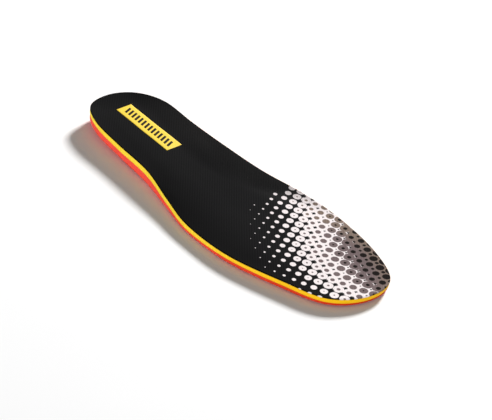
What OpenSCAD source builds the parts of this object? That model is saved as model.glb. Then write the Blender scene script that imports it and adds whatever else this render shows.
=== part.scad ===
// Cushioned insole for a right foot: a knitted cover bonded to two layers of foam,
// with shock pads let into the underside and a label on the heel.
// +Y points to the toe, +X to the outer side of the foot, and Z = 0 is the surface it lies on.
// The origin is under the middle of its plan.

/* [Size] */
// Length from the back of the heel to the toe tip
insole_length = 281; // [263:1:299]
// Width across the ball of the foot
insole_width = 104; // [98:0.5:110]
// Height of the top surface under the heel
heel_level = 12.4; // [11.6:0.2:13]
// Height of the top surface under the toes
toe_level = 7.4; // [7.2:0.1:7.8]

/* [Layers] */
// Thickness of the knitted cover
cover_thickness = 1; // [0.8:0.1:1.2]
// Thickness of each adhesive film
film_thickness = 0.2; // [0.1:0.05:0.3]
// Thickness of the upper foam under the heel
upper_foam_heel = 5; // [4.5:0.1:5.5]
// Thickness of the upper foam under the toes
upper_foam_toe = 3.4; // [3.2:0.1:3.5]

/* [Shock pads] */
// Length of the heel pad
heel_pad_length = 62; // [50:1:66]
// Width of the heel pad
heel_pad_width = 40; // [34:1:42]
// Thickness of the heel pad
heel_pad_depth = 3; // [2:0.2:3.4]
// Length of the forefoot pad
fore_pad_length = 74; // [60:1:76]
// Width of the forefoot pad
fore_pad_width = 34; // [28:1:36]
// Thickness of the forefoot pad
fore_pad_depth = 1.4; // [1:0.1:1.5]
// Gap round each pad in its recess
pad_gap = 0.2; // [0.1:0.05:0.4]

/* [Heel label] */
// Length of the label
label_length = 63; // [56:1:66]
// Width of the label
label_width = 14.6; // [12:0.2:15]
// Thickness of the label film
label_thickness = 0.2; // [0.1:0.05:0.3]
// Number of slanted bars in the motif
bar_count = 14; // [8:1:14]
// Height of each bar
bar_height = 7; // [4:0.2:8]
// Thickness of the printed motif
motif_thickness = 0.1; // [0.05:0.05:0.2]

/* [Hidden] */

side_steps = 40;    // steps along each side, from the heel to the toe
ring_steps = 8;     // steps from the rim in to the middle line
half = 10;          // rim points on each side, from the heel to the toe

// Rim of the top surface, from the back of the heel up the outer side to the toe and
// back down the inner side: [x, y, height of the rim, upper foam wall, whole foam wall].
// x and y are stretched to the length and width above.
rim = [
    [2.3, 0.0, 16.4, 4.6, 9.4],
    [24.0, 3.9, 15.8, 4.4, 9.5],
    [33.8, 23.7, 15.0, 4.3, 10.6],
    [36.0, 55.7, 13.7, 4.8, 10.9],
    [37.4, 91.6, 13.2, 4.9, 12.0],
    [43.4, 122.9, 9.8, 4.4, 8.6],
    [48.4, 153.2, 7.7, 4.2, 6.6],
    [45.6, 193.9, 7.8, 3.4, 6.6],
    [31.4, 235.4, 8.1, 3.7, 6.9],
    [16.5, 265.8, 7.8, 3.6, 6.0],
    [-10.4, 280.0, 7.4, 3.8, 5.7],
    [-37.2, 276.0, 7.3, 3.6, 5.5],
    [-51.0, 245.8, 7.3, 3.6, 5.7],
    [-55.6, 204.9, 7.4, 3.6, 5.7],
    [-50.0, 172.4, 10.3, 4.0, 8.2],
    [-35.8, 139.6, 16.2, 4.6, 11.5],
    [-28.2, 102.9, 20.0, 5.0, 13.5],
    [-28.9, 65.3, 17.8, 5.0, 12.0],
    [-30.1, 30.1, 16.4, 4.8, 10.6],
    [-18.6, 9.0, 16.2, 4.6, 9.9]
];

// The six faces between the layers, from the top down
COVER_TOP = 0;
COVER_BASE = 1;
UPPER_TOP = 2;
UPPER_BASE = 3;
LOWER_TOP = 4;
UNDERSIDE = 5;
face_inset = [0, 0, 0, 0.3, 0.3, 1.4]; // how far each face's edge lies inside the rim

slope_start = 0.38; // share of the length where the top surface starts down from the heel level
slope_end = 0.64;   // share of the length where it reaches the toe level
cup_width = 8;      // width of the curve up to the rim where the rim is level with the middle
cup_slope = 2.6;    // extra width for each millimetre that the rim stands higher
under_width = 4;    // width of the underside's curve up to its edge where the edge is low
under_slope = 1.5;  // extra width for each millimetre that the edge is higher
end_share = 0.4;    // share of the length over which the middle line is drawn in at each end
end_gap = 0.2;      // share of the length by which it stops short of each end

heel_pad_centre = [5.2, -insole_length * 0.33];
fore_pad_centre = [2.2, insole_length * 0.155];
fore_pad_turn = -24;                    // the ball of the foot lies slantwise
label_centre = [3.9, -insole_length * 0.33];
bar_pitch = (label_length - 7) / bar_count;
bar_width = bar_pitch * 0.56;
bar_slant = bar_height * 0.36;

// --- Curves ---

function wrap(i) = (i + len(rim)) % len(rim);

function spline(a, b, c, d, t) =
    0.5 * (2 * b + (c - a) * t + (2 * a - 5 * b + 4 * c - d) * t ^ 2
    + (3 * b - a - 3 * c + d) * t ^ 3);

// The rim at u, where a whole u is a point of the table
function rim_at(u) =
    let (i = floor(u), t = u - i)
    spline(rim[wrap(i - 1)], rim[wrap(i)], rim[wrap(i + 1)], rim[wrap(i + 2)], t);

// Falls from 1 at x = 0 to 0 at x = width
function fade(x, width) = x < width ? (1 - x / width) ^ 2 : 0;

// Rises from 0 to 1 between low and high
function ramp(x, low, high) =
    let (t = min(max((x - low) / (high - low), 0), 1))
    t * t * (3 - 2 * t);

outline = [for (i = [0:len(rim) * 8 - 1]) rim_at(i / 8)];
low_x = min([for (p = outline) p.x]);
high_x = max([for (p = outline) p.x]);
low_y = min([for (p = outline) p.y]);
high_y = max([for (p = outline) p.y]);
stretch = [insole_width / (high_x - low_x), insole_length / (high_y - low_y)];
middle = [(low_x + high_x) / 2, (low_y + high_y) / 2];

// --- Faces between the layers ---

// Height of a face at its edge
function edge_height(u, face) =
    let (p = rim_at(u))
    p.z - [
        0,
        cover_thickness,
        cover_thickness + film_thickness,
        cover_thickness + p[3],
        cover_thickness + p[3] + film_thickness,
        cover_thickness + p[4]
    ][face];

// Point of a face's edge at u
function edge_point(u, face) =
    let (
        p = rim_at(u),
        along = rim_at(u + 0.02) - rim_at(u - 0.02),
        inward = [-along.y, along.x] / norm([along.x, along.y]),
        q = [p.x, p.y] + inward * face_inset[face]
    )
    [(q.x - middle.x) * stretch.x, (q.y - middle.y) * stretch.y, edge_height(u, face)];

function upper_foam_at(s) =
    upper_foam_heel + (upper_foam_toe - upper_foam_heel) * ramp(s, slope_start, slope_end);

// Height of a face along the middle of the foot, away from the heel and the toe
function middle_height(s, face) =
    let (top = heel_level + (toe_level - heel_level) * ramp(s, slope_start, slope_end))
    [
        top,
        top - cover_thickness,
        top - cover_thickness - film_thickness,
        top - cover_thickness - film_thickness - upper_foam_at(s),
        top - cover_thickness - 2 * film_thickness - upper_foam_at(s),
        0
    ][face];

// How far along the foot, 0 to 1, the rim is at u
function side_place(u) = u <= half ? u / half : 2 - u / half;

// How far along the foot the middle line is, beside the rim at s
function middle_place(s) = s + end_gap * (fade(s, end_share) - fade(1 - s, end_share));

// Point of a face at u round the rim, and r from the rim, 0, in to the middle line, 1
function face_point(u, r, face) =
    let (
        s = side_place(u),
        m = middle_place(s),
        edge = edge_point(u, face),
        centre = (edge_point(half * m, face) + edge_point(len(rim) - half * m, face)) / 2,
        flat = edge + (centre - edge) * r,
        place = s + (m - s) * r,
        level = middle_height(place, face),
        rim_rise = max(edge_height(u, COVER_TOP) - middle_height(place, COVER_TOP), 0),
        width = face == UNDERSIDE
            ? under_width + under_slope * edge.z
            : cup_width + cup_slope * rim_rise
    )
    [
        flat.x,
        flat.y,
        level + (edge.z - level) * fade(norm([flat.x - edge.x, flat.y - edge.y]), width)
    ];

// Steps close up towards the heel and the toe, where the outline turns fastest
function side_step(i) = 0.6 * i / side_steps + 0.2 * (1 - cos(180 * i / side_steps));

loop_size = 2 * side_steps;
loop_u = [
    for (k = [0:loop_size - 1])
        k <= side_steps ? half * side_step(k) : len(rim) - half * side_step(loop_size - k)
];
face_size = loop_size * ring_steps + side_steps + 1;

// The rings close up towards the rim, and the last one is the middle line
function face_points(face) = [
    for (j = [0:ring_steps - 1], k = [0:loop_size - 1])
        face_point(loop_u[k], (j / ring_steps) ^ 1.5, face),
    for (k = [0:side_steps]) face_point(loop_u[k], 1, face)
];

// Index of the point k round ring j in a face's list
function at(j, k) =
    let (turn = k % loop_size)
    loop_size * j + (j < ring_steps ? turn : min(turn, loop_size - turn));

// A layer of the insole between two faces
module layer(top, base) {
    sheet = [
        for (j = [0:ring_steps - 1], k = [0:loop_size - 1])
            let (a = at(j, k), b = at(j, k + 1), c = at(j + 1, k + 1), d = at(j + 1, k))
            each [[a, d, c], [a, c, b]]
    ];
    wall = [
        for (k = [0:loop_size - 1])
            let (a = at(0, k), b = at(0, k + 1))
            each [[a, b, b + face_size], [a, b + face_size, a + face_size]]
    ];
    base_sheet = [for (f = sheet) [for (k = [2:-1:0]) f[k] + face_size]];
    polyhedron(
        points = concat(face_points(top), face_points(base)),
        faces = concat(sheet, base_sheet, wall),
        convexity = 6
    );
}

// --- Pads and label ---

// A plate with round ends, standing on Z = 0
module stadium(length, width, height) {
    reach = (length - width) / 2;
    translate([-reach, -width / 2, 0])
        cube([2 * reach, width, height]);
    for (side = [-1, 1])
        translate([side * reach, 0, 0])
            cylinder(d = width, h = height, $fn = 64);
}

// A pad's shape, or its recess when it is grown by extra and starts below the underside
module heel_pad_shape(extra = 0, below = 0) {
    translate([heel_pad_centre.x, heel_pad_centre.y, -below])
        rotate([0, 0, 90])
            stadium(heel_pad_length + extra, heel_pad_width + extra, heel_pad_depth + below);
}

module fore_pad_shape(extra = 0, below = 0) {
    translate([fore_pad_centre.x, fore_pad_centre.y, -below])
        rotate([0, 0, fore_pad_turn])
            stadium(fore_pad_length + extra, fore_pad_width + extra, fore_pad_depth + below);
}

// --- Nodes ---

module top_cover() {
    color("#232324") layer(COVER_TOP, COVER_BASE);
}

module cover_bond_film() {
    color("#e8dfc0") layer(COVER_BASE, UPPER_TOP);
}

module upper_foam() {
    color("#fbcf1f") layer(UPPER_TOP, UPPER_BASE);
}

module foam_bond_film() {
    color("#e8dfc0") layer(UPPER_BASE, LOWER_TOP);
}

module lower_foam() {
    color("#f0482f")
        difference() {
            layer(LOWER_TOP, UNDERSIDE);
            heel_pad_shape(2 * pad_gap, 1);
            fore_pad_shape(2 * pad_gap, 1);
        }
}

module heel_shock_pad() {
    color("#2b2b2d") heel_pad_shape();
}

module forefoot_shock_pad() {
    color("#2b2b2d") fore_pad_shape();
}

module heel_label() {
    color("#f7d84a")
        translate([label_centre.x, label_centre.y, heel_level + label_thickness / 2])
            cube([label_width, label_length, label_thickness], center = true);
}

// A row of slanted bars along the label
module label_motif() {
    color("#1d1d1f")
        for (i = [0:bar_count - 1])
            translate([
                label_centre.x,
                label_centre.y + (i - (bar_count - 1) / 2) * bar_pitch,
                heel_level + label_thickness
            ])
                linear_extrude(motif_thickness)
                    polygon([
                        [-bar_height / 2, -bar_width / 2 - bar_slant / 2],
                        [bar_height / 2, -bar_width / 2 + bar_slant / 2],
                        [bar_height / 2, bar_width / 2 + bar_slant / 2],
                        [-bar_height / 2, bar_width / 2 - bar_slant / 2]
                    ]);
}

top_cover();
cover_bond_film();
upper_foam();
foam_bond_film();
lower_foam();
heel_shock_pad();
forefoot_shock_pad();
heel_label();
label_motif();
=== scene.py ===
"""A cushioned insole: a printed knit cover on yellow and red foam, lying on a pale studio floor.

Lengths are millimetres in the shape functions and metres in Blender, and MM turns one into the other.
+Y points to the toe, +X to the outer side of the foot, and Z = 0 is the floor.
"""

import math

import bmesh
import bpy
import numpy as np
from mathutils import Euler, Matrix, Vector, noise
from mathutils.bvhtree import BVHTree


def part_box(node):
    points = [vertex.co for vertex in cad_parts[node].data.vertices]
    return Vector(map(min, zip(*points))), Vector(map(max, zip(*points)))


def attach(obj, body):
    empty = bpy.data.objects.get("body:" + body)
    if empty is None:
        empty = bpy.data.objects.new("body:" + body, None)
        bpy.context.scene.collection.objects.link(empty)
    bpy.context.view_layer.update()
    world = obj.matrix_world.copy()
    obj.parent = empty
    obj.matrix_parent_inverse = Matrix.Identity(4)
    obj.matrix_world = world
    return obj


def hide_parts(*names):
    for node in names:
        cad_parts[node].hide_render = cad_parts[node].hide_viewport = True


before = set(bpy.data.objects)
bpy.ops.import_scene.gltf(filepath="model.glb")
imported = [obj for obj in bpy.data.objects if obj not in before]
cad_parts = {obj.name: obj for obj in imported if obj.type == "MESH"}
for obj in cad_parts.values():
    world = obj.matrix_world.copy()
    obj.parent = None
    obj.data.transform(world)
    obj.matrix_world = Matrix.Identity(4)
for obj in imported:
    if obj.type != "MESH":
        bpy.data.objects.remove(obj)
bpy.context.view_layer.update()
MM = 0.001

# --- Camera ---------------------------------------------------------------------------------

CAMERA_PLACE = (0.5937, 0.5455, 0.6023)
CAMERA_TURN = (52.517, -8.539, 138.056)
LENS = 98.46
SENSOR = 36.0


def make_camera():
    data = bpy.data.cameras.new("camera")
    data.sensor_width = SENSOR
    data.lens = LENS
    data.clip_start = 0.01
    data.clip_end = 50.0
    camera = bpy.data.objects.new("camera", data)
    camera.location = CAMERA_PLACE
    camera.rotation_euler = Euler([math.radians(angle) for angle in CAMERA_TURN], "XYZ")
    bpy.context.scene.collection.objects.link(camera)
    bpy.context.scene.camera = camera


make_camera()

# --- The insole's shape, as in the CAD model -------------------------------------------------

# Rim of the top surface, from the back of the heel up the outer side to the toe and back down
# the inner side: x, y, height of the rim, upper foam wall, whole foam wall.
RIM = np.array([
    [2.3, 0.0, 16.4, 4.6, 9.4],
    [24.0, 3.9, 15.8, 4.4, 9.5],
    [33.8, 23.7, 15.0, 4.3, 10.6],
    [36.0, 55.7, 13.7, 4.8, 10.9],
    [37.4, 91.6, 13.2, 4.9, 12.0],
    [43.4, 122.9, 9.8, 4.4, 8.6],
    [48.4, 153.2, 7.7, 4.2, 6.6],
    [45.6, 193.9, 7.8, 3.4, 6.6],
    [31.4, 235.4, 8.1, 3.7, 6.9],
    [16.5, 265.8, 7.8, 3.6, 6.0],
    [-10.4, 280.0, 7.4, 3.8, 5.7],
    [-37.2, 276.0, 7.3, 3.6, 5.5],
    [-51.0, 245.8, 7.3, 3.6, 5.7],
    [-55.6, 204.9, 7.4, 3.6, 5.7],
    [-50.0, 172.4, 10.3, 4.0, 8.2],
    [-35.8, 139.6, 16.2, 4.6, 11.5],
    [-28.2, 102.9, 20.0, 5.0, 13.5],
    [-28.9, 65.3, 17.8, 5.0, 12.0],
    [-30.1, 30.1, 16.4, 4.8, 10.6],
    [-18.6, 9.0, 16.2, 4.6, 9.9],
])
# Rim points on each side of the foot
HALF = len(RIM) // 2
# Height of the top's middle under the heel and under the toes
HEEL_LEVEL = 12.4
TOE_LEVEL = 7.4
# Thickness of the cover, of a glue film, and of the upper foam at the heel and at the toes
COVER = 1.0
FILM = 0.2
UPPER_HEEL = 5.0
UPPER_TOE = 3.4
# Shares of the length between which the level falls from the heel's to the toes'
SLOPE_START = 0.38
SLOPE_END = 0.64
# Width of the band that rises to the rim, and how much wider it is for each millimetre of rise
CUP_WIDTH = 8.0
CUP_SLOPE = 2.6
# Width of the band where the underside curves up, and its growth with the height of its edge
UNDER_WIDTH = 4.0
UNDER_SLOPE = 1.5
# The middle line stops short of the heel and the toe: over what share of the length, and by what
END_SHARE = 0.4
END_GAP = 0.2

# Mesh steps along each side of the foot, and from the rim to the middle line, closer at the rim
SIDE_STEPS = 170
RING_STEPS = 46
RING_SPACING = 1.5
LOOP = 2 * SIDE_STEPS
# How much of the spacing along a side follows a cosine, which closes up at both ends
CROWDING = 0.4


def rim_at(u):
    """Rim values at a place counted in rim points, on a smooth closed curve through them."""
    u = np.asarray(u, float)
    i = np.floor(u).astype(int)
    t = (u - i)[..., None]
    a, b, c, d = (RIM[(i + k) % len(RIM)] for k in (-1, 0, 1, 2))
    return 0.5 * (2 * b + (c - a) * t + (2 * a - 5 * b + 4 * c - d) * t**2
                  + (3 * b - a - 3 * c + d) * t**3)


def fade(x, width):
    """1 at x = 0, falling smoothly to 0 at width."""
    return np.where(x < width, (1 - np.minimum(x / width, 1)) ** 2, 0)


def ramp(x, low, high):
    """0 below low and 1 above high, smooth between."""
    t = np.clip((x - low) / (high - low), 0, 1)
    return t * t * (3 - 2 * t)


def plan_fit():
    """Scale and shift that put the rim's plan on the CAD cover's box."""
    plan = rim_at(np.arange(0, len(RIM), 1 / 32))[:, :2]
    low, high = plan.min(0), plan.max(0)
    cad_low, cad_high = (np.array(corner)[:2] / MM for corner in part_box("top_cover"))
    scale = (cad_high - cad_low) / (high - low)
    return scale, (cad_low + cad_high) / 2 - scale * (low + high) / 2


PLAN_SCALE, PLAN_SHIFT = plan_fit()


def edge_xy(u, inset=0.0):
    """Places on the outline, moved inwards by inset."""
    along = rim_at(u + 0.02)[:, :2] - rim_at(u - 0.02)[:, :2]
    inward = np.stack([-along[:, 1], along[:, 0]], 1)
    inward /= np.linalg.norm(inward, axis=1)[:, None]
    inset = np.broadcast_to(inset, (len(inward),))[:, None]
    return (rim_at(u)[:, :2] + inward * inset) * PLAN_SCALE + PLAN_SHIFT


def loop_places():
    """Places round the rim, closing up towards the heel and the toe, and how far along each is."""
    k = np.arange(LOOP)
    i = np.where(k <= SIDE_STEPS, k, LOOP - k) / SIDE_STEPS
    along = (1 - CROWDING) * i + CROWDING / 2 * (1 - np.cos(np.pi * i))
    return np.where(k <= SIDE_STEPS, HALF * along, len(RIM) - HALF * along), along


U, ALONG = loop_places()
RIM_U = rim_at(U)
MIDDLE = ALONG + END_GAP * (fade(ALONG, END_SHARE) - fade(1 - ALONG, END_SHARE))
CENTRE = (edge_xy(HALF * MIDDLE) + edge_xy(len(RIM) - HALF * MIDDLE)) / 2


def top_level(s):
    return HEEL_LEVEL + (TOE_LEVEL - HEEL_LEVEL) * ramp(s, SLOPE_START, SLOPE_END)


def upper_thickness(s):
    return UPPER_HEEL + (UPPER_TOE - UPPER_HEEL) * ramp(s, SLOPE_START, SLOPE_END)


# Each face between two layers: its height at the rim, its level in the middle, and whether it
# is the underside, whose edge curves up over its own width.
TOP_Z = RIM_U[:, 2]
COVER_TOP = (TOP_Z, top_level, False)
COVER_BASE = (TOP_Z - COVER, lambda s: top_level(s) - COVER, False)
UPPER_TOP = (TOP_Z - COVER - FILM, lambda s: top_level(s) - COVER - FILM, False)
UPPER_BASE = (
    TOP_Z - COVER - RIM_U[:, 3],
    lambda s: top_level(s) - COVER - FILM - upper_thickness(s),
    False,
)
LOWER_TOP = (
    UPPER_BASE[0] - FILM,
    lambda s: top_level(s) - COVER - 2 * FILM - upper_thickness(s),
    False,
)
UNDERSIDE = (TOP_Z - COVER - RIM_U[:, 4], lambda s: 0 * s, True)


# Size of the soft unevenness of a surface, and the rings from the edge over which it sets in
RIPPLE_SIZE = 17
RIPPLE_RINGS = 6


def ripple(points, size, height, seed):
    """Slow unevenness of soft material, in millimetres."""
    return np.array([
        height * noise.noise(Vector((x / size, y / size, seed))) for x, y in points
    ])


def surface(face, inset=0.0, lift=0.0, uneven=0.0, seed=0.0):
    """Points of a face: a loop for each ring from the edge inwards, then the middle line."""
    edge_z, level_of, is_under = face
    edge_z = edge_z + lift
    edge = edge_xy(U, inset)
    rings = []
    for j in range(RING_STEPS + 1):
        r = (j / RING_STEPS) ** RING_SPACING
        flat = edge + (CENTRE - edge) * r
        place = ALONG + (MIDDLE - ALONG) * r
        level = level_of(place) + lift
        rise = np.maximum(TOP_Z - top_level(place), 0)
        width = UNDER_WIDTH + UNDER_SLOPE * edge_z if is_under else CUP_WIDTH + CUP_SLOPE * rise
        z = level + (edge_z - level) * fade(np.linalg.norm(flat - edge, axis=1), width)
        if uneven and j:
            z = z + ripple(flat, RIPPLE_SIZE, uneven * min(j / RIPPLE_RINGS, 1), seed)
        ring = np.column_stack([flat, z])
        rings.append(ring if j < RING_STEPS else ring[: SIDE_STEPS + 1])
    return np.vstack(rings)


def wall_ring(inset, z):
    """A loop of points round the side wall."""
    return np.column_stack([edge_xy(U, inset), np.broadcast_to(z, U.shape)])


# --- Mesh building ---------------------------------------------------------------------------


def mesh_object(name, points, faces, materials, slots=None):
    mesh = bpy.data.meshes.new(name)
    mesh.from_pydata([tuple(p) for p in np.asarray(points) * MM], [], faces)
    for material in materials:
        mesh.materials.append(material)
    if slots is not None:
        mesh.polygons.foreach_set("material_index", slots)
    mesh.polygons.foreach_set("use_smooth", [True] * len(faces))
    mesh.validate()
    mesh.update()
    piece = bpy.data.objects.new(name, mesh)
    bpy.context.scene.collection.objects.link(piece)
    return piece


def face_index(j, k):
    """Number of the point at ring j and place k, where the last ring is the middle line."""
    turn = k % LOOP
    return LOOP * j + (turn if j < RING_STEPS else min(turn, LOOP - turn))


def layer(name, top, wall, base, materials):
    """A closed layer: its top surface, the rings of its side wall and its underside.
    The first material is the top's, the second the side's and the last the underside's."""
    sheet = [
        (face_index(j, k), face_index(j, k + 1), face_index(j + 1, k + 1), face_index(j + 1, k))
        for j in range(RING_STEPS) for k in range(LOOP)
    ]
    starts = [0] + [len(top) + LOOP * w for w in range(len(wall))]
    base_start = len(top) + LOOP * len(wall)
    starts.append(base_start)
    side = [
        (a + k, b + k, b + (k + 1) % LOOP, a + (k + 1) % LOOP)
        for a, b in zip(starts, starts[1:]) for k in range(LOOP)
    ]
    under = [tuple(base_start + i for i in reversed(quad)) for quad in sheet]
    slots = [0] * len(sheet) + [1] * len(side) + [len(materials) - 1] * len(under)
    points = np.vstack([top, *wall, base])
    return mesh_object(name, points, sheet + side + under, materials, slots)


# --- Materials -------------------------------------------------------------------------------


def linear(*rgb):
    """An sRGB colour of 0 to 255 as Blender's linear colour."""
    parts = [c / 255 for c in rgb]
    return (*[p / 12.92 if p <= 0.04045 else ((p + 0.055) / 1.055) ** 2.4 for p in parts], 1.0)


class Shader:
    """A material's node tree, with short calls for the nodes used here."""

    def __init__(self, name, roughness, sheen=0.0, sheen_tint=(1, 1, 1, 1), specular=0.5):
        self.material = bpy.data.materials.new(name)
        self.material.use_nodes = True
        self.tree = self.material.node_tree
        self.bsdf = self.tree.nodes["Principled BSDF"]
        self.bsdf.inputs["Roughness"].default_value = roughness
        self.bsdf.inputs["Specular IOR Level"].default_value = specular
        self.bsdf.inputs["Sheen Weight"].default_value = sheen
        self.bsdf.inputs["Sheen Roughness"].default_value = 0.45
        self.bsdf.inputs["Sheen Tint"].default_value = sheen_tint
        self.place = self.node("ShaderNodeTexCoord").outputs["Object"]

    def node(self, kind, **settings):
        made = self.tree.nodes.new(kind)
        for key, value in settings.items():
            setattr(made, key, value)
        return made

    def join(self, value, socket):
        if isinstance(value, bpy.types.NodeSocket):
            self.tree.links.new(value, socket)
        else:
            socket.default_value = value

    def math(self, operation, *values):
        made = self.node("ShaderNodeMath", operation=operation)
        for value, socket in zip(values, made.inputs):
            self.join(value, socket)
        return made.outputs[0]

    def add(self, a, b):
        return self.math("ADD", a, b)

    def sub(self, a, b):
        return self.math("SUBTRACT", a, b)

    def mul(self, a, b):
        return self.math("MULTIPLY", a, b)

    def weigh(self, base, *pairs):
        """base plus each value times its weight."""
        for value, weight in pairs:
            base = self.math("MULTIPLY_ADD", value, weight, base)
        return base

    def step(self, value, low, high):
        """0 below low and 1 above high, smooth between."""
        made = self.node("ShaderNodeMapRange", interpolation_type="SMOOTHSTEP")
        for key, part in zip(("Value", "From Min", "From Max"), (value, low, high)):
            self.join(part, made.inputs[key])
        return made.outputs["Result"]

    def mix(self, share, a, b):
        made = self.node("ShaderNodeMix", data_type="RGBA")
        for socket, value in zip((made.inputs[0], made.inputs[6], made.inputs[7]), (share, a, b)):
            self.join(value, socket)
        return made.outputs[2]

    def noise(self, scale, detail=3.0, roughness=0.55):
        made = self.node("ShaderNodeTexNoise")
        self.join(self.place, made.inputs["Vector"])
        made.inputs["Scale"].default_value = scale
        made.inputs["Detail"].default_value = detail
        made.inputs["Roughness"].default_value = roughness
        return made.outputs["Fac"]

    def cells(self, scale):
        made = self.node("ShaderNodeTexVoronoi", feature="F1")
        self.join(self.place, made.inputs["Vector"])
        made.inputs["Scale"].default_value = scale
        return made.outputs["Distance"]

    def axes(self):
        made = self.node("ShaderNodeSeparateXYZ")
        self.join(self.place, made.inputs[0])
        return made.outputs

    def bump(self, height, depth, strength=1.0):
        made = self.node("ShaderNodeBump")
        made.inputs["Strength"].default_value = strength
        made.inputs["Distance"].default_value = depth
        self.join(height, made.inputs["Height"])
        self.join(made.outputs[0], self.bsdf.inputs["Normal"])

    def finish(self, colour, roughness=None):
        self.join(colour, self.bsdf.inputs["Base Color"])
        if roughness is not None:
            self.join(roughness, self.bsdf.inputs["Roughness"])
        return self.material


# Halftone print over the toes: the pitch of its dots, where it starts and how it is turned
DOT_PITCH = 7.4 * MM
PRINT_ORIGIN = (-29.35 * MM, 19.3 * MM)
PRINT_TURN = math.radians(48.8)
# How far the print is shifted along x and y for each millimetre that the cover climbs: the slant
# of the main camera's line of sight there, so that the dots keep their places in that view
CLIMB_X = 1.08
CLIMB_Y = 0.87
# Radius of the dots of each ink, in pitches, at growth 0, and what each step of growth adds
WHITE = (0.232, 0.1)
GREY = (-0.155, 0.107)
EARLY_GREY = (-0.01, 0.05)
BLACK = (-0.38, 0.088)
STAR = (0.53, -0.095)
FLECK = (-0.124, 0.035)
# What is added to a white dot's radius: before growth 0 by the square of the growth, and from the
# crowded dots on by each step
TAIL_GAIN = 0.0095
CROWD_START = 2.2
CROWD_GAIN = -0.02
# Growth at which each ink starts, and the radii that black dots and stars keep to
WHITE_START = -2.75
GREY_START = 1.2
BLACK_START = 5.2
LEAST_BLACK = 0.05
LEAST_STAR = 0.065
MOST_STAR = 0.26
# Lines of equal growth bend back past these places across the foot, by these amounts
OUTER_BEND = (7.3, 0.054)
INNER_BEND = (2.5, 0.04)
# How far towards the inner side of the foot the screen of dots reaches, in pitches
INNER_LIMIT = -0.2
# Half the width of a dot's soft edge, and how far its outline frays
DOT_EDGE = 0.025
DOT_FRAY = 0.05

# The printed knit is stretched a little: a shift of u and the weights of u, u squared and uv in it,
# then a shift of v and the weights of v, v squared, u, u squared and uv. V counts from here in uv.
STRETCH_U = (0.011, (1.0054, -0.0048, -0.0016))
STRETCH_V = (0.078, (0.9752, 0.0013, -0.0213, 0.0059, 0.0014))
STRETCH_MIDDLE = 4

# Columns of the knit, which run at the same slant as the print, and the loops along a column
WALE = 0.92 * MM
LOOP_LENGTH = 0.8 * MM


def knit_height(s):
    """Height of a ribbed weft knit, 0 to 1: columns of V-shaped loops, every other one raised."""
    x, y, _ = s.axes()
    wobble = s.noise(160, 2)
    cos, sin = math.cos(PRINT_TURN), math.sin(PRINT_TURN)
    across = s.weigh(s.mul(x, -sin / WALE), (y, cos / WALE), (wobble, 0.3))
    along = s.weigh(s.mul(x, cos / LOOP_LENGTH), (y, sin / LOOP_LENGTH), (wobble, 0.4))
    fold = s.math("PINGPONG", across, 0.5)
    leg = s.math("SINE", s.mul(s.add(along, fold), 2 * math.pi))
    column = s.math("SINE", s.mul(fold, 2 * math.pi))
    rib = s.math("SINE", s.mul(across, math.pi))
    return s.weigh(0.32, (leg, 0.12), (column, 0.26), (rib, 0.22))


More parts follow.
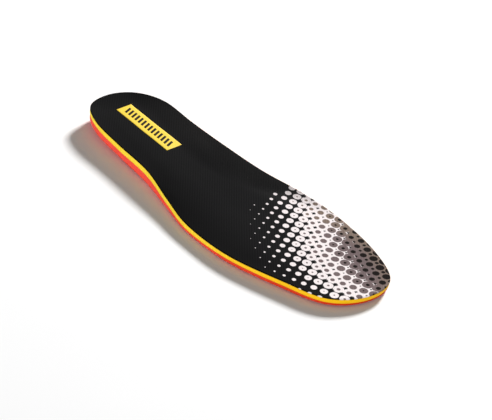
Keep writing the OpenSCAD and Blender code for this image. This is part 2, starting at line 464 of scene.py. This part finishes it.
def print_masks(s):
    """Shares of white, grey and black ink of a square screen of dots that grow towards the toe."""
    x, y, z = s.axes()
    fray = s.noise(900, 2)
    # where the cover climbs the side of the foot, the print is shifted with its height
    climb = s.math("MAXIMUM", s.sub(z, TOE_LEVEL * MM), 0)
    px = s.weigh(-PRINT_ORIGIN[0] / DOT_PITCH, (x, 1 / DOT_PITCH), (climb, -CLIMB_X / DOT_PITCH))
    py = s.weigh(-PRINT_ORIGIN[1] / DOT_PITCH, (y, 1 / DOT_PITCH), (climb, -CLIMB_Y / DOT_PITCH))
    cos, sin = math.cos(PRINT_TURN), math.sin(PRINT_TURN)
    root = math.sqrt(5)
    # u runs towards the toe and v towards the outer side
    u = s.weigh(s.mul(px, -sin), (py, cos))
    v = s.weigh(s.mul(px, cos), (py, sin))
    uu = s.mul(u, u)
    vv = s.mul(v, v)
    uv = s.mul(u, s.sub(v, STRETCH_MIDDLE))
    stretched_u = s.weigh(STRETCH_U[0], *zip((u, uu, uv), STRETCH_U[1]))
    stretched_v = s.weigh(STRETCH_V[0], *zip((v, vv, u, uu, uv), STRETCH_V[1]))
    # i and j count the dots along the two directions of the screen
    i = s.weigh(s.mul(stretched_u, 2 / root), (stretched_v, 1 / root))
    j = s.weigh(s.mul(stretched_u, 1 / root), (stretched_v, -2 / root))
    dot = [s.math("ROUND", part) for part in (i, j)]
    gap = [s.add(s.math("FLOOR", part), 0.5) for part in (i, j)]

    def reach(centre):
        side, other = (s.sub(part, mid) for part, mid in zip((i, j), centre))
        square = s.weigh(s.mul(side, side), (other, other))
        return s.weigh(s.math("SQRT", square), (s.sub(fray, 0.5), DOT_FRAY))

    def growth(centre):
        """How far along its growth the dot at centre is."""
        ahead = s.weigh(s.mul(centre[0], 2 / root), (centre[1], 1 / root))
        across = s.weigh(s.mul(centre[0], 1 / root), (centre[1], -2 / root))
        outer = s.math("MAXIMUM", s.sub(across, OUTER_BEND[0]), 0)
        inner = s.math("MAXIMUM", s.sub(INNER_BEND[0], across), 0)
        return s.weigh(ahead, (s.mul(outer, outer), -OUTER_BEND[1]),
                       (s.mul(inner, inner), -INNER_BEND[1]))

    def radius(law, grown):
        return s.math("MULTIPLY_ADD", grown, law[1], law[0])

    def ink(size, distance, shown):
        edge = s.sub(size, distance)
        return s.mul(s.step(edge, -DOT_EDGE, DOT_EDGE), s.math("GREATER_THAN", *shown))

    grown, to_dot, to_gap = growth(dot), reach(dot), reach(gap)
    # the first white dots shrink more slowly, and the crowded ones grow more slowly
    tail = s.math("MAXIMUM", s.mul(grown, -1), 0)
    crowd = s.math("MAXIMUM", s.sub(grown, CROWD_START), 0)
    white_size = s.weigh(radius(WHITE, grown), (s.mul(tail, tail), TAIL_GAIN), (crowd, CROWD_GAIN))
    white = ink(white_size, to_dot, (grown, WHITE_START))
    # the screen stops short of the inner side of the foot
    sides = s.weigh(s.mul(dot[0], 3 / root), (dot[1], -1 / root))
    white = s.mul(white, s.math("GREATER_THAN", sides, INNER_LIMIT))
    grey_size = s.math("MAXIMUM", radius(GREY, grown), radius(EARLY_GREY, grown))
    grey = ink(grey_size, to_dot, (grown, GREY_START))
    black_size = s.math("MAXIMUM", radius(BLACK, grown), LEAST_BLACK)
    black = ink(black_size, to_dot, (grown, BLACK_START))
    # black stars are left open between the white dots, and turn into flecks towards the toe
    gap_grown = growth(gap)
    fleck_size = s.math("MAXIMUM", radius(FLECK, gap_grown), LEAST_STAR)
    star_size = s.math("MAXIMUM", radius(STAR, gap_grown), fleck_size)
    star = ink(s.math("MINIMUM", star_size, MOST_STAR), to_gap, (white, 0.01))
    return white, grey, s.math("MAXIMUM", black, star)


def yarn_and_painted_light_colour(s, height, fine):
    """Black yarn, lighter on raised loops and darker in grooves as painted highlight and painted
    shade; painted sheen makes it lighter towards the inner edge of the foot and painted shade makes
    it darker towards the outer edge.
    """
    # painted highlight and painted shade: the yarn is lighter where the knit's loops rise and darker
    # in its grooves
    thread = s.weigh(0, (height, 0.6), (fine, 0.3))
    across = s.node("ShaderNodeAttribute", attribute_name="across").outputs["Fac"]
    # painted sheen: the yarn is lighter along the inner edge of the foot, in bright specks
    inner = s.mul(s.step(across, -0.35, -1.1), s.weigh(0.65, (fine, 0.7)))
    # painted shade: the yarn is darker along the outer edge of the foot
    outer = s.mul(s.step(across, 0.1, 1), 0.8)
    plain = s.mix(thread, linear(7, 7, 8), linear(31, 31, 32))
    # the lighter yarn colour used for the painted sheen
    light = s.mix(thread, linear(36, 36, 36), linear(56, 55, 55))
    return s.mix(outer, s.mix(inner, plain, light), linear(4, 4, 5))


# Painted warm sheen: the grey ink turns warmer between two distances from this place, which leaves
# the inner edge of the forefoot outside
WARM_CENTRE = (0.03, 0.09)
WARM_START = 0.064
WARM_END = 0.078


def grey_ink_and_painted_sheen_colour(s, height, cloudy):
    x, y, _ = s.axes()
    aside = s.sub(x, WARM_CENTRE[0])
    ahead = s.sub(y, WARM_CENTRE[1])
    away = s.math("SQRT", s.weigh(s.mul(aside, aside), (ahead, ahead)))
    # painted warm sheen: the grey ink is warmer outside this circle, along the forefoot's edge
    painted_sheen_share = s.mul(s.step(away, WARM_START, WARM_END), 0.85)
    # painted highlight and painted shade: the grey ink is lighter on the knit's raised loops and
    # darker in its grooves, with a random cloudy tone
    shade = s.weigh(0, (height, 0.6), (cloudy, 0.4))
    cool = s.mix(shade, linear(94, 80, 82), linear(124, 109, 108))
    # the warm grey of the painted sheen, also lighter on the knit's raised loops as painted highlight
    warm_sheen_grey = s.mix(height, linear(112, 96, 85), linear(138, 122, 108))
    return s.mix(painted_sheen_share, cool, warm_sheen_grey)


def knit_material():
    s = Shader("printed_knit", 0.85, sheen=0.01, sheen_tint=linear(255, 236, 205), specular=0.03)
    height = knit_height(s)
    white, grey, black = print_masks(s)
    cloudy = s.noise(45, 4)
    fine = s.noise(1500, 2)
    # painted highlight and painted shade: the white ink is lighter on the knit's raised loops and
    # darker in its grooves, with a random cloudy tone
    shade = s.weigh(0.1, (height, 0.6), (cloudy, 0.3))
    white_ink = s.mix(shade, linear(222, 210, 210), linear(240, 233, 232))
    # painted highlight: the black ink is lighter on the knit's raised loops
    black_ink = s.mix(height, linear(6, 3, 2), linear(24, 15, 11))
    colour = s.mix(white, yarn_and_painted_light_colour(s, height, fine), white_ink)
    colour = s.mix(s.mul(grey, white), colour, grey_ink_and_painted_sheen_colour(s, height, cloudy))
    colour = s.mix(s.mul(black, white), colour, black_ink)
    s.bump(s.weigh(s.mul(height, 0.8), (fine, 0.35)), 0.12 * MM, 0.6)
    return s.finish(colour, s.weigh(0.92, (white, -0.1), (height, -0.08)))


def backing_material():
    s = Shader("knit_backing", 0.95, sheen=0.02, specular=0.06)
    strands = s.noise(1400, 4, 0.7)
    s.bump(strands, 0.25 * MM, 0.8)
    return s.finish(s.mix(strands, linear(8, 8, 9), linear(40, 40, 42)))


def foam_material(name, heel, toe, pore_shade_and_mottle, pore_scale, pore_depth):
    """Fine-celled foam: soft mottling, and open pores darkened as painted shade. The toe end is
    darker than
    the heel end: the foam's own tone, and on the yellow and red foams also painted shade of the toe's
    wall."""
    s = Shader(name, 0.7, sheen=0.05, sheen_tint=heel, specular=0.2)
    pores = s.cells(pore_scale)
    open_pore = s.step(pores, 0.32, 0.12)
    mottled = s.noise(70, 5, 0.6)
    # the darker toe end is partly painted shade of the toe's wall
    ahead = s.step(s.weigh(s.axes()[1], (mottled, 0.05)), -0.01, 0.14)
    colour = s.mix(ahead, heel, toe)
    colour = s.mix(s.mul(s.step(mottled, 0.35, 0.8), 0.12), colour, pore_shade_and_mottle)
    # painted shade: the open pores are darkened
    colour = s.mix(s.mul(open_pore, 0.3), colour, pore_shade_and_mottle)
    grain = s.noise(2600, 2)
    s.bump(s.weigh(s.mul(grain, 0.5), (pores, 0.7)), pore_depth, 0.7)
    return s.finish(colour, s.weigh(0.62, (mottled, 0.2)))


def film_material():
    s = Shader("adhesive_film", 0.4, specular=0.5)
    flow = s.noise(240, 4)
    s.bump(flow, 0.05 * MM, 0.5)
    return s.finish(s.mix(flow, linear(225, 185, 70), linear(240, 205, 110)))


def label_material():
    s = Shader("label_film", 0.45, specular=0.25)
    height = knit_height(s)
    worn = s.noise(320, 5, 0.65)
    # painted highlight and painted shade: the label is lighter where the knit beneath it rises and
    # darker over its grooves; the worn noise is wear
    colour = s.mix(s.weigh(0, (height, 0.5), (worn, 0.5)), linear(236, 198, 52),
                   linear(249, 217, 77))
    s.bump(s.weigh(s.mul(height, 0.5), (worn, 0.3)), 0.07 * MM, 0.5)
    return s.finish(colour, s.weigh(0.3, (worn, 0.3)))


def motif_material():
    s = Shader("label_ink", 0.6, specular=0.08)
    worn = s.noise(700, 4, 0.7)
    s.bump(worn, 0.04 * MM, 0.5)
    return s.finish(s.mix(s.step(worn, 0.5, 0.8), linear(16, 11, 8), linear(48, 36, 18)))


def floor_material():
    s = Shader("studio_floor", 0.9, specular=0.1)
    return s.finish(s.mix(s.noise(6, 3), linear(242, 242, 242), linear(245, 245, 245)))


# Each foam: heel colour, toe colour darkened in part as painted shade, and one colour for painted
# shade in the pores and for random mottling
YELLOW = foam_material("yellow_foam", linear(255, 226, 60), linear(244, 190, 8),
                       linear(224, 150, 6), 2100, 0.10 * MM)
RED = foam_material("red_foam", linear(252, 84, 68), linear(208, 52, 10),
                    linear(180, 30, 16), 1700, 0.12 * MM)
PAD = foam_material("pad_foam", linear(58, 58, 62), linear(50, 50, 54),
                    linear(14, 14, 16), 1500, 0.12 * MM)
GLUE = film_material()

# --- Pieces ----------------------------------------------------------------------------------


def give(piece, *nodes, slot):
    """The piece rides on the one body and stands for its CAD nodes."""
    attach(piece, "root")
    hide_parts(*nodes)
    return piece


# Below 1, the value falls to 0 more suddenly at the tips
TIP_FALL = 0.7


def across_values(wall_rings):
    """How far each point of a layer is from the middle line: 1 at the outer edge of the foot,
    -1 at the inner edge, and 0 at the tips of the heel and the toe."""
    side = np.where(np.arange(LOOP) <= SIDE_STEPS, 1, -1) * np.sin(np.pi * ALONG) ** TIP_FALL
    rings = [side * (1 - (j / RING_STEPS) ** RING_SPACING) for j in range(RING_STEPS)]
    sheet = [*rings, np.zeros(SIDE_STEPS + 1)]
    return np.concatenate([*sheet, *[side] * wall_rings, *sheet])


# The cover's rounded edge and cut side: inset and depth below the rim, and how far it wavers
COVER_EDGE = ((0.22, 0.06), (0.06, 0.22), (0.0, 0.45), (0.02, 0.75))
COVER_WAVER = 0.06


def make_cover():
    """The knit, with a rounded top edge and a cut side that wavers a little."""
    waves = np.array([noise.noise(Vector((4 * a, 4 * b, 2))) for a, b in edge_xy(U)])
    wall = [wall_ring(inset + COVER_WAVER * waves, TOP_Z - drop) for inset, drop in COVER_EDGE]
    top = surface(COVER_TOP, 0.5, uneven=0.22, seed=1.0)
    base = surface(COVER_BASE, 0.12)
    knit = knit_material()
    cover = layer("top_cover_knit", top, wall, base, [knit, knit, backing_material()])
    # the across values steer the yarn's painted sheen on the inner side and painted shade on the
    # outer side
    across = cover.data.attributes.new("across", "FLOAT", "POINT")
    across.data.foreach_set("value", across_values(len(wall)))
    return give(cover, "top_cover", slot="knit_fabric")


def make_film(name, node, top_face, base_face, inset):
    film = layer(name, surface(top_face, inset), [], surface(base_face, inset), [GLUE, GLUE])
    return give(film, node, slot="adhesive")


def bulged_wall(top_z, base_z, steps, inset_at):
    """Wall rings from top_z to base_z, inset by a function of the share of the way down."""
    return [
        wall_ring(inset_at(f), top_z + (base_z - top_z) * f)
        for f in (i / steps for i in range(1, steps))
    ]


def make_upper_foam():
    """The full-length foam, whose wall bulges softly between the cover and the base."""
    wall = bulged_wall(
        UPPER_TOP[0], UPPER_BASE[0], 9,
        lambda f: 0.32 - 0.3 * math.sin(math.pi * f) ** 0.5 + 0.25 * f**4,
    )
    foam = layer("upper_foam_layer", surface(UPPER_TOP, 0.3), wall, surface(UPPER_BASE, 0.5),
                 [YELLOW, YELLOW])
    return give(foam, "upper_foam", slot="yellow_foam")


def stadium(length, width, steps=40):
    """Outline of a plate with round ends, counter-clockwise, and its long axis along x."""
    reach = (length - width) / 2
    turn = np.pi * np.arange(steps + 1) / steps - np.pi / 2
    right = np.stack([reach + width / 2 * np.cos(turn), width / 2 * np.sin(turn)], 1)
    return np.vstack([right, -right])


# Pads: CAD node, length, width, turn from +X in degrees
PADS = {
    "heel": ("heel_shock_pad", 62.0, 40.0, 90.0),
    "forefoot": ("forefoot_shock_pad", 74.0, 34.0, -24.0),
}
PAD_GAP = 0.2
# The grooves under a pad: their pitch, half their width at the mouth and inside, and how high the
# ribs between them and the grooves' own faces lie
RIB_PITCH = 3.2
GROOVE_MOUTH = 0.9
GROOVE_HALF = 0.45
RIB_FACE = 0.12
GROOVE_FACE = 0.5


def pad_place(node):
    """Centre of a pad and the height of its top, from its CAD box."""
    low, high = (np.array(corner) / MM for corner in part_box(node))
    return (low + high) / 2, high[2]


def pad_outline(part, grow):
    node, length, width, turn = PADS[part]
    centre, _ = pad_place(node)
    angle = math.radians(turn)
    spin = np.array([[math.cos(angle), math.sin(angle)], [-math.sin(angle), math.cos(angle)]])
    return stadium(length + 2 * grow, width + 2 * grow) @ spin + centre[:2]


def prism(name, outline, heights, grows, materials):
    """Rings of an outline at given heights, each grown by an amount, closed at both ends."""
    rings = [np.column_stack([outline(g), np.full(len(outline(g)), z)])
             for g, z in zip(grows, heights)]
    n = len(rings[0])
    faces = [tuple(reversed(range(n)))]
    for r in range(len(rings) - 1):
        faces += [
            (n * r + k, n * r + (k + 1) % n, n * (r + 1) + (k + 1) % n, n * (r + 1) + k)
            for k in range(n)
        ]
    faces.append(tuple(range(n * (len(rings) - 1), n * len(rings))))
    return mesh_object(name, np.vstack(rings), faces, materials)


def make_lower_foam():
    """The moulded base: a wall that rounds under, with two recesses for the pads."""
    top_z, edge_z = LOWER_TOP[0], UNDERSIDE[0]
    wall = bulged_wall(top_z, edge_z, 12, lambda f: 0.2 + 0.55 * (1 - f) ** 2 + 1.25 * f**5)
    foam = layer("lower_foam_base", surface(LOWER_TOP, 0.75), wall, surface(UNDERSIDE, 1.5),
                 [RED, RED])
    for part, (node, *_) in PADS.items():
        depth = pad_place(node)[1]
        # a recess that flares at its mouth, and starts below the foam for a clean cut
        cutter = prism(
            "cutter", lambda grow: pad_outline(part, grow),
            (-1.0, 0.0, 0.5, depth), (PAD_GAP + 1.2, PAD_GAP + 0.5, PAD_GAP, PAD_GAP), [RED],
        )
        cut = foam.modifiers.new("recess", "BOOLEAN")
        cut.operation = "DIFFERENCE"
        cut.solver = "EXACT"
        cut.object = cutter
        evaluated = foam.evaluated_get(bpy.context.evaluated_depsgraph_get())
        foam.data = bpy.data.meshes.new_from_object(evaluated)
        foam.modifiers.clear()
        bpy.data.objects.remove(cutter)
    return give(foam, "lower_foam", slot="red_foam")


def make_pad(part):
    """A dense pad with rounded edges and concentric ribs on its underside."""
    node, length, width, _ = PADS[part]
    depth = pad_place(node)[1]
    ribs = int(width / 2 / RIB_PITCH)
    # growth and height of each ring: the side, the rounded lower edge, then the ribs and grooves
    profile = [(0.0, depth), (0.0, 0.75), (-0.12, 0.4), (-0.4, 0.2), (-0.9, RIB_FACE)]
    for i in range(1, ribs):
        groove = -RIB_PITCH * i
        profile += [
            (groove + GROOVE_MOUTH, RIB_FACE),
            (groove + GROOVE_HALF, GROOVE_FACE),
            (groove - GROOVE_HALF, GROOVE_FACE),
            (groove - GROOVE_MOUTH, RIB_FACE),
        ]
    grows, heights = zip(*reversed(profile))
    pad = prism(f"{part}_shock_pad_foam", lambda grow: pad_outline(part, grow), heights, grows,
                [PAD])
    return give(pad, node, slot="pad_foam")


def cover_heights(points):
    """Height of the cover's top at each x, y."""
    drop = BVHTree.FromObject(cover, bpy.context.evaluated_depsgraph_get())
    down = Vector((0, 0, -1))
    return np.array([
        drop.ray_cast(Vector((x * MM, y * MM, 0.1)), down)[0].z / MM for x, y in points
    ])


# Share of its thickness that a plate on the cover keeps at its bevelled edge
BEVEL = 0.55


def patch(name, grid_x, grid_y, lift, thickness, materials):
    """A thin plate that lies on the cover: a grid of x and y with a bevelled edge."""
    rows, columns = grid_x.shape
    xy = np.stack([grid_x.ravel(), grid_y.ravel()], 1)
    lie = cover_heights(xy) + lift
    rim = np.zeros((rows, columns), bool)
    rim[[0, -1]] = True
    rim[:, [0, -1]] = True
    rim = rim.ravel()
    top = np.column_stack([xy, lie + np.where(rim, BEVEL, 1.0) * thickness])
    under = np.column_stack([xy, lie])
    quads = [
        (r * columns + c, r * columns + c + 1, (r + 1) * columns + c + 1, (r + 1) * columns + c)
        for r in range(rows - 1) for c in range(columns - 1)
    ]
    n = rows * columns
    loop = (
        list(range(columns))
        + [r * columns + columns - 1 for r in range(1, rows)]
        + [(rows - 1) * columns + c for c in range(columns - 2, -1, -1)]
        + [r * columns for r in range(rows - 2, 0, -1)]
    )
    side = [(a, n + a, n + b, b) for a, b in zip(loop, loop[1:] + loop[:1])]
    faces = quads + [tuple(n + i for i in reversed(q)) for q in quads] + side
    return mesh_object(name, np.vstack([top, under]), faces, materials)


def spaced(low, high, steps, edge):
    """Even steps from low to high, with one more a short way in from each end."""
    inner = np.linspace(low + edge, high - edge, steps)
    return np.concatenate([[low], inner, [high]])


def make_label():
    low, high = (np.array(corner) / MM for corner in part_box("heel_label"))
    x, y = np.meshgrid(spaced(low[0], high[0], 14, 0.25), spaced(low[1], high[1], 58, 0.25))
    label = patch("heel_label_film", x, y, 0.02, high[2] - low[2], [label_material()])
    return give(label, "heel_label", slot="label_film")


# Bars of the label's pattern, their slant as a share of their height and their width as a share
# of their pitch
BARS = 14
BAR_SLANT = 0.36
BAR_SHARE = 0.56
# How high the bars lie above the cover, and how thick their ink is
INK_LIFT = 0.23
INK_THICKNESS = 0.07


def make_motif():
    """A row of slanted bars: a plain pattern where such a label carries a name."""
    low, high = (np.array(corner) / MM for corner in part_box("label_motif"))
    height = high[0] - low[0]
    slant = BAR_SLANT * height
    pitch = (high[1] - low[1] - slant) / (BARS - 1 + BAR_SHARE)
    width = BAR_SHARE * pitch
    ink = motif_material()
    bars = []
    for i in range(BARS):
        start = low[1] + slant / 2 + i * pitch
        x, y = np.meshgrid(spaced(low[0], high[0], 6, 0.12), spaced(start, start + width, 3, 0.12))
        y = y + slant * (x - (low[0] + high[0]) / 2) / height
        bars.append(patch(f"bar_{i}", x, y, INK_LIFT, INK_THICKNESS, [ink]))
    whole = bmesh.new()
    for bar in bars:
        whole.from_mesh(bar.data)
        bpy.data.objects.remove(bar)
    mesh = bpy.data.meshes.new("label_motif_print")
    whole.to_mesh(mesh)
    whole.free()
    mesh.materials.append(ink)
    motif = bpy.data.objects.new("label_motif_print", mesh)
    bpy.context.scene.collection.objects.link(motif)
    return give(motif, "label_motif", slot="label_print")


# --- Studio ----------------------------------------------------------------------------------


# Half the width of the floor, how far it lies below the insole, and the light of the surroundings
FLOOR_REACH = 30.0
FLOOR_DROP = 0.0003
WORLD_LIGHT = 0.2
# Lights: place, size and power
KEY = ((-2.7, -0.9, 1.6), 0.7, 207.0)
FILL = ((2.3, 1.15, 0.2), 0.8, 55.0)


def make_floor():
    shape = bmesh.new()
    bmesh.ops.create_grid(shape, x_segments=4, y_segments=4, size=FLOOR_REACH)
    mesh = bpy.data.meshes.new("studio_floor")
    shape.to_mesh(mesh)
    shape.free()
    mesh.materials.append(floor_material())
    floor = bpy.data.objects.new("studio_floor", mesh)
    floor.location.z = -FLOOR_DROP
    bpy.context.scene.collection.objects.link(floor)


def make_light(name, place, size, power):
    """A round soft light that points at the insole."""
    data = bpy.data.lights.new(name, "AREA")
    data.shape = "DISK"
    data.size = size
    data.energy = power
    light = bpy.data.objects.new(name, data)
    light.location = place
    light.visible_camera = False
    light.rotation_euler = (-Vector(place)).to_track_quat("-Z", "Y").to_euler()
    bpy.context.scene.collection.objects.link(light)


def make_studio():
    make_floor()
    make_light("key", *KEY)
    make_light("fill", *FILL)
    world = bpy.data.worlds.new("studio")
    world.use_nodes = True
    background = world.node_tree.nodes["Background"]
    background.inputs["Color"].default_value = (1, 1, 1, 1)
    background.inputs["Strength"].default_value = WORLD_LIGHT
    bpy.context.scene.world = world
    bpy.context.scene.view_settings.view_transform = "Standard"


# --- Putting it together ---------------------------------------------------------------------

cover = make_cover()
make_film("cover_bond_glue", "cover_bond_film", COVER_BASE, UPPER_TOP, 0.35)
upper_foam = make_upper_foam()
make_film("foam_bond_glue", "foam_bond_film", UPPER_BASE, LOWER_TOP, 0.7)
lower_foam = make_lower_foam()
pads = [make_pad(part) for part in PADS]
make_label()
make_motif()
make_studio()
